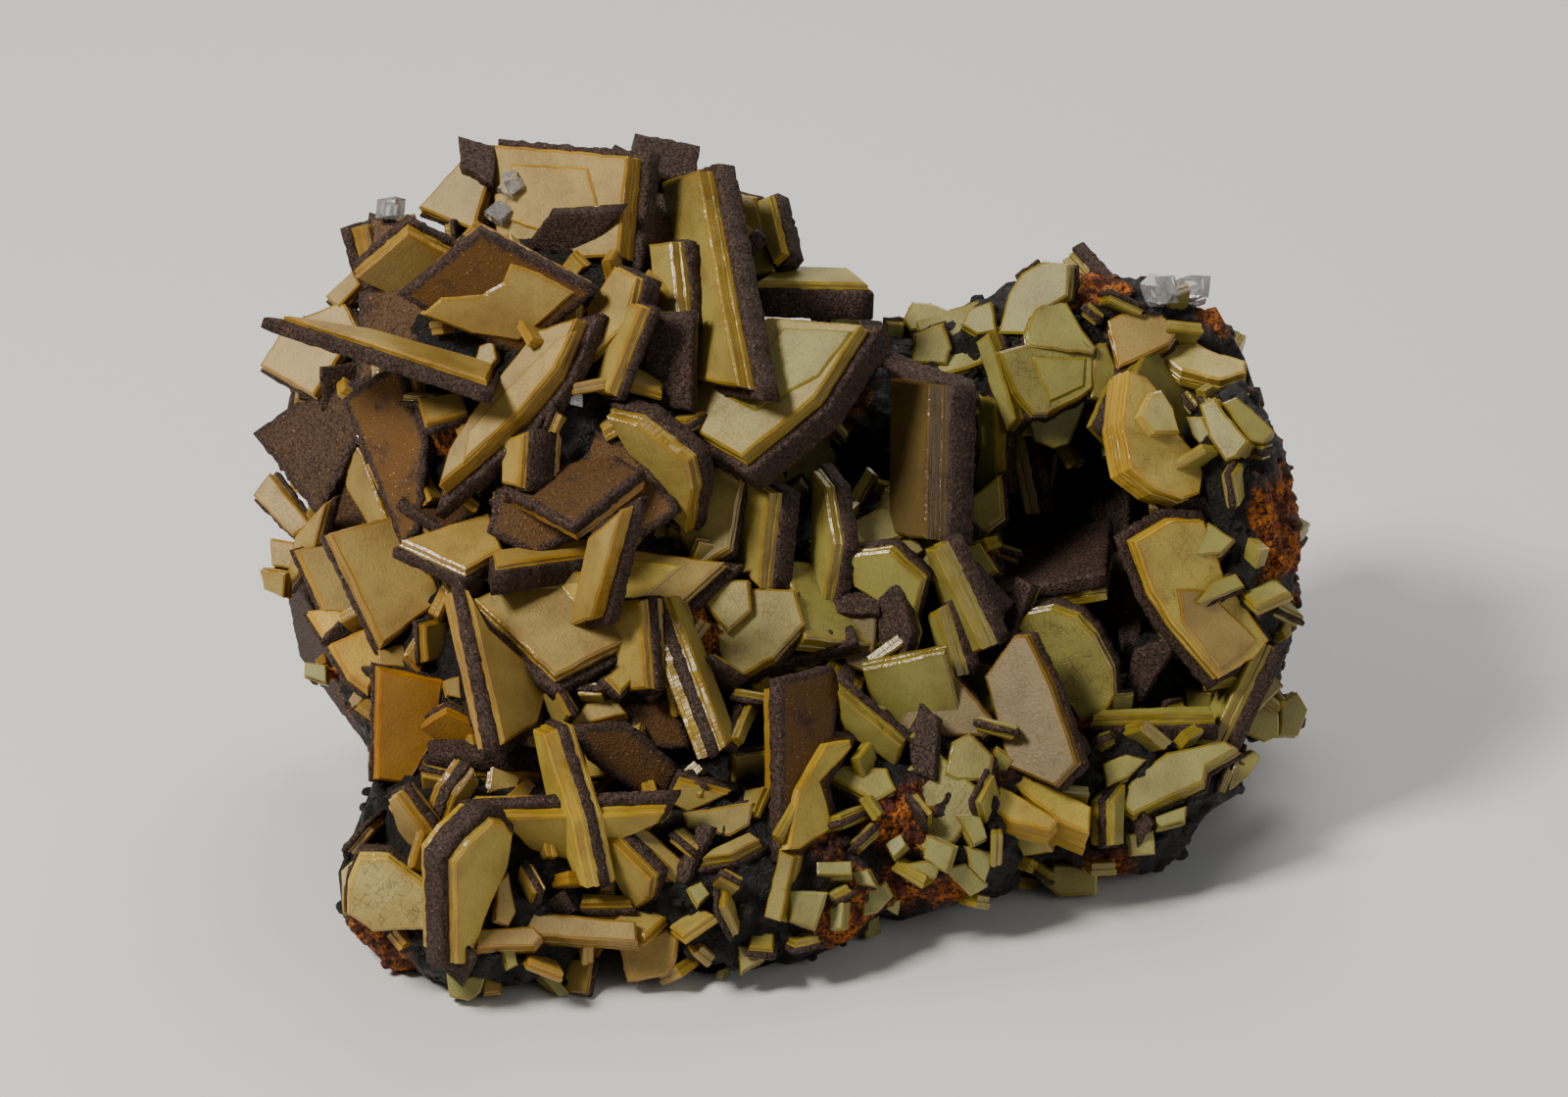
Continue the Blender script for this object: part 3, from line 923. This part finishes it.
def addLayer(home, crystal, corners, front, back, kind, dice):
    # one growth layer, in a mesh of its own that then joins the others of its piece
    bm, marks = newCrystalMesh()
    upright = crystal["upright"]
    shape = dict(paleShape if kind == "pale" else brownShape)
    shape["step"] *= crystal.get("coarse", 1)
    size = breadth(corners)
    chamfer = min(shape["chamfer"], (back - front) * sideShape["chamferDepth"],
                  size * sideShape["chamferSize"])
    border = min(shape["border"], size * sideShape["borderSize"])
    rise = chamfer * sideShape["chamferRise"]
    inset = (chamfer + border) * mm
    caps = slab(bm, corners, upright, (front + rise) * mm, (back - rise) * mm, shape, inset, dice)
    if kind == "pale":
        rings = [(chamfer, rise, True), (border, 0, False)]
    else:  # a rounder edge, in two cuts
        rings = [(chamfer * 0.3, chamfer * 0.5, True), (chamfer * 0.7, chamfer * 0.25, True),
                 (border, 0, False)]
    inner = set()
    for cap in caps:
        for width, height, even in rings:
            bmesh.ops.inset_region(bm, faces=[cap], thickness=width * mm, depth=height * mm,
                                   use_even_offset=even, use_boundary=True)
        inner.update(cap.verts)
    along, across = crystal["axes"]
    for vert in bm.verts:
        off = (vert.co - crystal["corners"][0]) / mm
        vert[marks["local"]] = (off.dot(along) + crystal["shift"],
                                off.dot(across) + crystal["shift"], -off.dot(upright))
        vert[marks["tone"]] = (*crystal["tone"], 1)
        vert[marks["habit"]] = crystal["habit"]
        vert[marks["edge"]] = 0.0 if vert in inner else 1.0
        if kind == "brown" and vert not in inner:
            vert.co += noise.noise_vector(vert.co / (shape["lump"] * mm)) * shape["grain"] * mm
    for face in bm.faces:
        face.material_index = 1 if kind == "brown" else 0
        face.smooth = kind == "brown"
    bmesh.ops.triangulate(bm, faces=[face for face in bm.faces if len(face.verts) > 4])
    joinInto(home, bm)


def growCrystal(home, crystal, dice):
    # pale layers in front, the brown zone behind them, and in some a rear pale layer
    corners, upright = crystal["corners"], crystal["upright"]
    pale, brown, rear = crystal["layers"]
    sides = [(corners[i] - corners[i - 1]) for i in range(len(corners))]
    along = max(sides, key=lambda side: side.length).normalized()
    crystal["axes"] = (along, upright.cross(along))
    crystal["shift"] = dice.uniform(0, paleShape["shift"])
    crystal["tone"] = toneOf(crystal, dice)
    crystal["habit"] = habits.get(crystal["name"], (0, dice.random() * paleShape["crackle"], 0))
    if crystal["name"].startswith(("back", "filler")):
        crystal["habit"] = (dice.random() * paleShape["hiddenAmber"] if pale == 0 else 0,
                            dice.random() * paleShape["hiddenCrackle"], 0)
    large = spanOf(corners) > seating["rimSpan"] * mm and not crystal.get("plain")
    wide = widened(corners, upright, seating["rim" if large else "smallRim"] * mm)
    slim = widened(corners, upright, -paleShape["widen"] * mm)
    overlap, stepOverlap = paleShape["overlap"], paleShape["stepOverlap"]
    if pale:
        step = pale * paleShape["share"]
        addLayer(home, crystal, slim, 0, step + stepOverlap, "pale", dice)
        addLayer(home, crystal, corners, step, pale + overlap, "pale", dice)
    if brown:
        addLayer(home, crystal, wide, pale - brownShape["overlap"],
                 pale + brown + brownShape["overlap"], "brown", dice)
    if rear:
        top = pale + brown
        step = top + rear * (1 - paleShape["share"])
        addLayer(home, crystal, corners, top - overlap, step + stepOverlap, "pale", dice)
        addLayer(home, crystal, slim, step, top + rear, "pale", dice)


def cutFlat(bm, place, direction):
    cut = bmesh.ops.bisect_plane(bm, geom=bm.verts[:] + bm.edges[:] + bm.faces[:],
                                 plane_co=place, plane_no=direction, clear_outer=True)
    edges = [item for item in cut["geom_cut"] if isinstance(item, bmesh.types.BMEdge)]
    bmesh.ops.holes_fill(bm, edges=edges, sides=0)


def cutUnder(bm, height):  # takes away what is lower than a height in millimetres
    cutFlat(bm, (0, 0, height * mm), (0, 0, -1))


def dressedPiece(name, bm, materials, solid=None):
    # a finished piece; without a solid that it replaces, it has the rock's finish
    bmesh.ops.triangulate(bm, faces=[face for face in bm.faces if len(face.verts) > 4])
    mesh = meshFrom(name, bm)
    piece = inScene(name, mesh)
    for material in materials:
        mesh.materials.append(material)
    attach(piece, "root")
    if solid:
        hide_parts(solid)
    print(name, "triangles", sum(len(face.vertices) - 2 for face in mesh.polygons))


# Which crystals make each piece. The rest of domeRows and detailRows make the dome's,
# other back and margin crystals are with the rock's, and what is left makes the valley's.
pieceCrystals = {
    "left_fan_crystals": "upright upright_chip fan_one fan_two fan_three fan_strip far_left"
    " left_slant left_chip_one left_chip_two cheek bib orange_back orange_chip orange_tan"
    " back_13 back_23 back_26",
    "right_wall_crystals": "crook moon shelf gold_page gold_step door_lintel right_door"
    " door_wedge door_step door_sheet green_low flake_one back_6",
    "front_ledge_crystals": "slim table front_thick cream fan_right green_back yellow_strip"
    " stack green_bar green_bar_two pit_shard pair_two dark_stick margin_22",
    "ridge_crystals": "blade_back striated ridge_chip_two ring_top ring_next shield shield_step"
    " shield_two left_edge green_prism page rolled back_21",
    "cap_crystals": "cap back_4 back_32",
    "amber_crystals": "left_amber filler_0",
    "leaf_pair": "leaf leaf_step twin",
    "wedge_pair": "wedge wedge_tan valley_three",
    "sparkling_pair": "arc_plate sparkle_plate",
    "rock_crystals": "curl pale_prism pale_shard cream_side pale_flat green_tan pair_one"
    " pair_three glass_chip blade_cap stair_edge small_face_two glitter edge_one edge_two ladle"
    " pillar pale_wing cream_step bottom_tan ridge_chip_one ridge_green ridge_block"
    " ridge_sliver glassy_green green_end amber_low",
}
standsFor = {  # the solid that each piece replaces
    "left_fan_crystals": "left_fan_cluster", "right_wall_crystals": "right_wall_cluster",
    "front_ledge_crystals": "front_cluster", "ridge_crystals": "ridge_cluster",
    "cap_crystals": "back_cluster", "amber_crystals": "amber_crystal",
    "leaf_pair": "leaf_crystals", "wedge_pair": "wedge_crystals",
    "sparkling_pair": "sparkling_crystal", "dome_crystals": "dome_cluster",
    "valley_crystals": "dome_cluster", "rock_crystals": None,
}
growing = {"seed": 21, "floorClear": 0.4}


def pieceOf(crystal):
    name = crystal["name"]
    for piece, members in pieceCrystals.items():
        if name in members.split():
            return piece
    if name.startswith(("margin", "back")):
        return "rock_crystals"
    return "dome_crystals" if name in domeNames else "valley_crystals"


tabletPaints = [paints["pale"], paints["brown"]]
lumps = list(rockLumps.values())
crystals = placeAll(domeRows + frontRows + saddleRows + ridgeRows + detailRows, lumps)
crystals.update(placeAll(fillerRows(), lumps))
crystals.update(placeAll(marginRows, lumps))
crystals.update(backCrystals())
domeNames = {row[0] for row in domeRows + detailRows}
meshes = {name: newCrystalMesh()[0] for name in standsFor}
dice = random.Random(growing["seed"])
for crystal in crystals.values():
    growCrystal(meshes[pieceOf(crystal)], crystal, dice)
for name, solid in standsFor.items():
    cutUnder(meshes[name], growing["floorClear"])
    dressedPiece(name, meshes[name], tabletPaints, solid)
print("crystals grown:", len(crystals))


# Rock: botryoidal lumps and crumbs, spongy where it is rusty. Sizes are in millimetres.
rockShape = {"voxel": 0.62, "grain": 6.5, "fractal": (0.8, 2.0, 3), "swell": 1.1,
             "ball": 2.3, "ballHeight": 0.55, "ballTop": 0.2, "crumb": 1.2, "crumbHeight": 0.42,
             "crumbTop": 0.5, "hollowing": 2, "spongeSize": 0.9, "sponge": 1.1, "moved": 0.1,
             "lumpDetail": 4, "knobDetail": 3}
rustShape = {"depth": 25, "edge": 1.25, "raggedSize": 4, "raggedBase": 0.82, "ragged": 1.1,
             "patchSize": 11, "patch": 1.5, "patchBase": 0.4}
rustSpots = [  # places on the sheet, their half sizes and strength
    ((1303, 545), (30, 105), 1.0), ((1112, 290), (50, 25), 0.8), ((925, 840), (60, 55), 0.9),
    ((1134, 884), (30, 22), 1.0), ((640, 996), (42, 20), 0.9), ((334, 672), (42, 72), 0.7),
    ((1240, 320), (30, 30), 0.6), ((930, 905), (90, 40), 0.4),
]
knobShape = {"largest": 3.4, "share": 0.75, "behind": 0.8, "lowest": 0.4}


def rustAt(place):
    x, y = onSheet(place)
    rust = 0.0
    if (eye - place).dot(toEye) < sheet["eyeDistance"] + rustShape["depth"] * mm:
        for (cx, cy), (rx, ry), strength in rustSpots:
            off = math.hypot((x - cx) / rx, (y - cy) / ry)
            rust = max(rust, strength * max(0, rustShape["edge"] - off))
    ragged = noise.noise(place / (rustShape["raggedSize"] * mm)) * rustShape["ragged"]
    ragged = rustShape["raggedBase"] + ragged
    patch = noise.noise(place / (rustShape["patchSize"] * mm)) * rustShape["patch"]
    return min(1, max(rust * ragged, patch - rustShape["patchBase"]))


def lumpBalls(bm, spots, detail):
    for centre, radii in spots:
        ball = bmesh.ops.create_icosphere(bm, subdivisions=detail, radius=1)
        bmesh.ops.scale(bm, verts=ball["verts"], vec=Vector(radii) * mm)
        bmesh.ops.translate(bm, verts=ball["verts"], vec=Vector(centre) * mm)


def fitted(place):
    # pulls a point of rock that the outline leaves out back to the outline's edge
    if withinOutline(place):
        return place
    x, y = onSheet(place)
    best = None
    for i, (x2, y2) in enumerate(wholeOutline):
        x1, y1 = wholeOutline[i - 1]
        share = ((x - x1) * (x2 - x1) + (y - y1) * (y2 - y1)) / ((x2 - x1) ** 2 + (y2 - y1) ** 2)
        share = max(0, min(1, share))
        off = (x1 + (x2 - x1) * share - x, y1 + (y2 - y1) * share - y)
        if best is None or math.hypot(*off) < math.hypot(*best):
            best = off
    return place + (toRight * best[0] - toTop * best[1]) * sheet["unit"]


def remeshed(bm, voxel):
    item = inScene("rough", meshFrom("rough", bm))
    net = item.modifiers.new("one_body", "REMESH")
    net.mode = "VOXEL"
    net.voxel_size = voxel * mm
    bpy.context.view_layer.update()
    ready = item.evaluated_get(bpy.context.evaluated_depsgraph_get())
    bm = bmesh.new()
    bm.from_mesh(ready.to_mesh())
    ready.to_mesh_clear()
    bpy.data.objects.remove(item)
    return bm


def roundTops(place, kind):  # height of the rounded balls or crumbs at a place
    near = noise.voronoi(place / (rockShape[kind] * mm))[0][0]
    top = rockShape[kind + "Top"] - near * near * rockShape["hollowing"]
    return rockShape[kind + "Height"] * top


def roughen(bm, swell):
    bm.normal_update()
    for vert in bm.verts:
        place = vert.co.copy()
        push = noise.fractal(place / (rockShape["grain"] * mm), *rockShape["fractal"]) * swell
        push += roundTops(place, "ball")
        push += roundTops(place, "crumb")
        sponge = noise.noise(place / (rockShape["spongeSize"] * mm))
        push += rustAt(place) * sponge * rockShape["sponge"]
        vert.co += vert.normal * push * mm


def markRust(bm):
    layer = bm.verts.layers.float.get("rust") or bm.verts.layers.float.new("rust")
    for vert in bm.verts:
        vert[layer] = rustAt(vert.co)


def smoothFaces(bm, index=0):
    for face in bm.faces:
        face.material_index = index
        face.smooth = True


def knobs():
    # knobs of rock behind the small crystals of the broken edge
    found = []
    rockNames = pieceCrystals["rock_crystals"].split()
    for crystal in crystals.values():
        if crystal["name"].startswith("margin") or crystal["name"] in rockNames:
            size = min(knobShape["largest"], spanOf(crystal["corners"]) / mm * knobShape["share"])
            behind = middleOf(crystal["corners"]) - crystal["upright"] * sum(crystal["layers"]) * mm
            centre = (behind - toEye * size * knobShape["behind"] * mm) / mm
            found.append(((centre.x, centre.y, max(centre.z, size * knobShape["lowest"])),
                          (size,) * 3))
    return found


bm = bmesh.new()
lumpBalls(bm, lumps, rockShape["lumpDetail"])
lumpBalls(bm, knobs(), rockShape["knobDetail"])
bm = remeshed(bm, rockShape["voxel"])
bm.normal_update()
outwards = [vert.normal.copy() for vert in bm.verts]
roughen(bm, rockShape["swell"])
rockSkin = []  # places that small crystals and grains may take, each with its outward direction
for vert, out in zip(bm.verts, outwards):
    place = fitted(vert.co).copy()
    if (place - vert.co).length < rockShape["moved"] * mm:
        rockSkin.append((place, out))
    vert.co = place
cutUnder(bm, 0)
markRust(bm)
smoothFaces(bm)
dressedPiece("gossan_rock", bm, [paints["rock"]], "matrix")


# Small crystals in the gaps between the large ones
smallShape = {"seed": 31, "tries": 6000, "spacing": 2.0, "size": (1.1, 3.0), "stand": 0.3,
              "slope": 0.6, "spin": 0.5, "coarse": 2.0, "lowest": 1.0, "parting": 6.0,
              "layers": [(0.8, 0.5, 0), (0.9, 0, 0), (0.5, 0.6, 0.4), (1.1, 0, 0)]}
covering = {"near": 4, "margin": 0.3}


def coversPlace(crystal, place, margin):
    upright, corners = crystal["upright"], crystal["corners"]
    depth = upright.dot(corners[0] - place)
    if not -margin < depth < sum(crystal["layers"]) * mm + margin:
        return False
    turn = math.copysign(1, areaVector(corners).dot(upright))
    return all((corner - corners[i - 1]).cross(place - corner).dot(upright) * turn > 0
               for i, corner in enumerate(corners))


def surfaceSpots(shape, dice):
    # places on the rock's outside, each with its outward direction
    spots = []
    taken = set()
    cell = shape["spacing"] * mm
    nearBy = [(i, j, k) for i in (-1, 0, 1) for j in (-1, 0, 1) for k in (-1, 0, 1)]
    hearts = [(middleOf(crystal["corners"]), spanOf(crystal["corners"]) + covering["near"] * mm,
               crystal) for crystal in crystals.values()]
    for _ in range(shape["tries"]):
        place, out = dice.choice(rockSkin)
        if place.z < shape["lowest"] * mm or not withinOutline(place):
            continue
        key = tuple(int(math.floor(place[i] / cell)) for i in range(3))
        if any((key[0] + i, key[1] + j, key[2] + k) in taken for i, j, k in nearBy):
            continue
        if any((heart - place).length < reach
               and coversPlace(crystal, place, covering["margin"] * mm)
               for heart, reach, crystal in hearts):
            continue
        taken.add(key)
        spots.append((place, out))
    return spots


dice = random.Random(smallShape["seed"])
halves = {"small_crystals_left": newCrystalMesh()[0], "small_crystals_right": newCrystalMesh()[0]}
spots = surfaceSpots(smallShape, dice)
for place, out in spots:
    size = dice.uniform(*smallShape["size"]) * mm
    lie = dice.uniform(0, math.pi)
    slope = dice.gauss(0, smallShape["slope"])
    spin = dice.uniform(-smallShape["spin"], smallShape["spin"])
    heart, upright, corners = standing(place, out, size, smallShape["stand"], lie, slope, spin)
    if not all(withinOutline(corner) for corner in corners):
        continue
    side = "left" if heart.x < smallShape["parting"] * mm else "right"
    growCrystal(halves["small_crystals_" + side], {
        "name": "small", "corners": corners, "upright": upright, "plain": True,
        "coarse": smallShape["coarse"], "layers": dice.choice(smallShape["layers"]),
        "sheetX": onSheet(heart)[0]}, dice)
for name, bm in halves.items():
    cutUnder(bm, growing["floorClear"])
    dressedPiece(name, bm, tabletPaints)
print("places for small crystals:", len(spots))


# Black grains on the rock
grainShape = {"seed": 17, "tries": 4000, "spacing": 1.2, "lowest": 0.8, "size": (0.28, 0.75),
              "detail": 2, "squash": 0.35, "sunk": -0.1, "lump": 0.5, "lumpHeight": 0.2}
dice = random.Random(grainShape["seed"])
bm = bmesh.new()
spots = surfaceSpots(grainShape, dice)
for place, out in spots:
    size = dice.uniform(*grainShape["size"])
    ball = bmesh.new()
    bmesh.ops.create_icosphere(ball, subdivisions=grainShape["detail"], radius=size * mm)
    squash = [dice.uniform(1 - grainShape["squash"], 1 + grainShape["squash"]) for _ in range(3)]
    bmesh.ops.scale(ball, verts=ball.verts, vec=squash)
    bmesh.ops.translate(ball, verts=ball.verts, vec=place + out * size * grainShape["sunk"] * mm)
    joinInto(bm, ball)
for vert in bm.verts:
    push = noise.noise_vector(vert.co / (grainShape["lump"] * mm))
    vert.co += push * grainShape["lumpHeight"] * mm
smoothFaces(bm)
cutUnder(bm, growing["floorClear"])
markRust(bm)
dressedPiece("black_grains", bm, [paints["rock"]])
print("grains:", len(spots))


# Lining of the hollow: a crust over the ridge's foot, with crystals on it
hollowShape = {"shift": 3.2, "detail": 5, "swell": 0.3, "back": 17.8, "low": 0.5}
centre, radii = rockLumps["ridge_foot"]
crustLump = (tuple(Vector(centre) + toEye * hollowShape["shift"]), radii)
bm = newCrystalMesh()[0]
lumpBalls(bm, [crustLump], hollowShape["detail"])
roughen(bm, hollowShape["swell"])
cutFlat(bm, (0, hollowShape["back"] * mm, 0), (0, 1, 0))
cutUnder(bm, hollowShape["low"])
markRust(bm)
smoothFaces(bm, 2)
for crystal in placeAll(hollowRows, [crustLump]).values():
    growCrystal(bm, crystal, dice)
cutUnder(bm, growing["floorClear"])
dressedPiece("hollow_lining", bm, tabletPaints + [paints["rock"]], "hollow_crystals")


# Clear grains: a few slanted cubes grown through each other in the place of each solid
clearShape = {"seed": 4, "count": 3, "size": (0.75, 1.05), "first": 1.25, "slant": 0.22,
              "spread": 0.5, "bevel": 0.05}
clearGrains = ["calcite_crown", "calcite_crown_front", "calcite_left", "calcite_ramp",
               "calcite_glossy", "calcite_ridge", "calcite_ridge_end"]
dice = random.Random(clearShape["seed"])
slant = Matrix.Shear("XY", 3, (clearShape["slant"], clearShape["slant"])).to_4x4()
for name in clearGrains:
    low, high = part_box(name)
    middle = (low + high) / 2
    reach = min(high - low) / 2
    bm = bmesh.new()
    for i in range(clearShape["count"]):
        edge = reach * dice.uniform(*clearShape["size"]) * (1.0 if i else clearShape["first"])
        cube = bmesh.ops.create_cube(bm, size=edge)["verts"]
        bmesh.ops.transform(bm, matrix=slant, verts=cube)
        turn = Euler([dice.uniform(0, math.pi) for _ in range(3)]).to_matrix()
        bmesh.ops.rotate(bm, verts=cube, matrix=turn)
        off = Vector([dice.uniform(-1, 1) for _ in range(3)]) * reach * clearShape["spread"]
        bmesh.ops.translate(bm, verts=cube, vec=middle + (off if i else Vector()))
    bmesh.ops.bevel(bm, geom=bm.edges[:], offset=clearShape["bevel"] * mm, segments=1,
                    profile=0.5, affect="EDGES", material=-1)
    dressedPiece(name + "_grains", bm, [paints["clear"]], name)


# Floor, light and camera. Each light has its place, size, power and colour.
studio = {"floor": 1.6, "floorColour": (0.70, 0.68, 0.65, 1), "floorRoughness": 0.7,
          "world": 0.12, "sky": (0.9, 0.93, 1.0, 1), "sensor": 36, "lens": 135,
          "lights": [((-0.36, -0.20, 0.50), 0.16, 5.4, (1.0, 0.97, 0.91)),
                     ((0.50, -0.35, 0.28), 0.45, 0.9, (0.96, 0.98, 1.0)),
                     ((0.12, 0.45, 0.55), 0.45, 3.0, (1.0, 0.98, 0.95))]}
bm = bmesh.new()
bmesh.ops.create_grid(bm, x_segments=2, y_segments=2, size=studio["floor"] / 2)
mesh = meshFrom("floor", bm)
floor = inScene("floor", mesh)
floorPaint = Paint("floor_pale", {"Base Color": studio["floorColour"],
                                  "Roughness": studio["floorRoughness"]})
mesh.materials.append(floorPaint.material)
for i, (place, size, power, colour) in enumerate(studio["lights"]):
    lamp = bpy.data.lights.new(f"soft_light_{i}", "AREA")
    lamp.size = size
    lamp.energy = power
    lamp.color = colour
    item = inScene(lamp.name, lamp)
    item.location = place
    item.rotation_euler = (sheetOrigin - Vector(place)).to_track_quat("-Z", "Y").to_euler()
world = bpy.data.worlds.new("studio")
bpy.context.scene.world = world
world.use_nodes = True
world.node_tree.nodes["Background"].inputs[0].default_value = studio["sky"]
world.node_tree.nodes["Background"].inputs[1].default_value = studio["world"]
lens = bpy.data.cameras.new("photo_camera")
lens.sensor_width = studio["sensor"]
lens.lens = studio["lens"]
camera = inScene("photo_camera", lens)
camera.matrix_world = Matrix((
    (toRight.x, toTop.x, toEye.x, eye.x), (toRight.y, toTop.y, toEye.y, eye.y),
    (toRight.z, toTop.z, toEye.z, eye.z), (0, 0, 0, 1)))
bpy.context.scene.camera = camera
print("floor, lights and camera made")

print("sizes written")
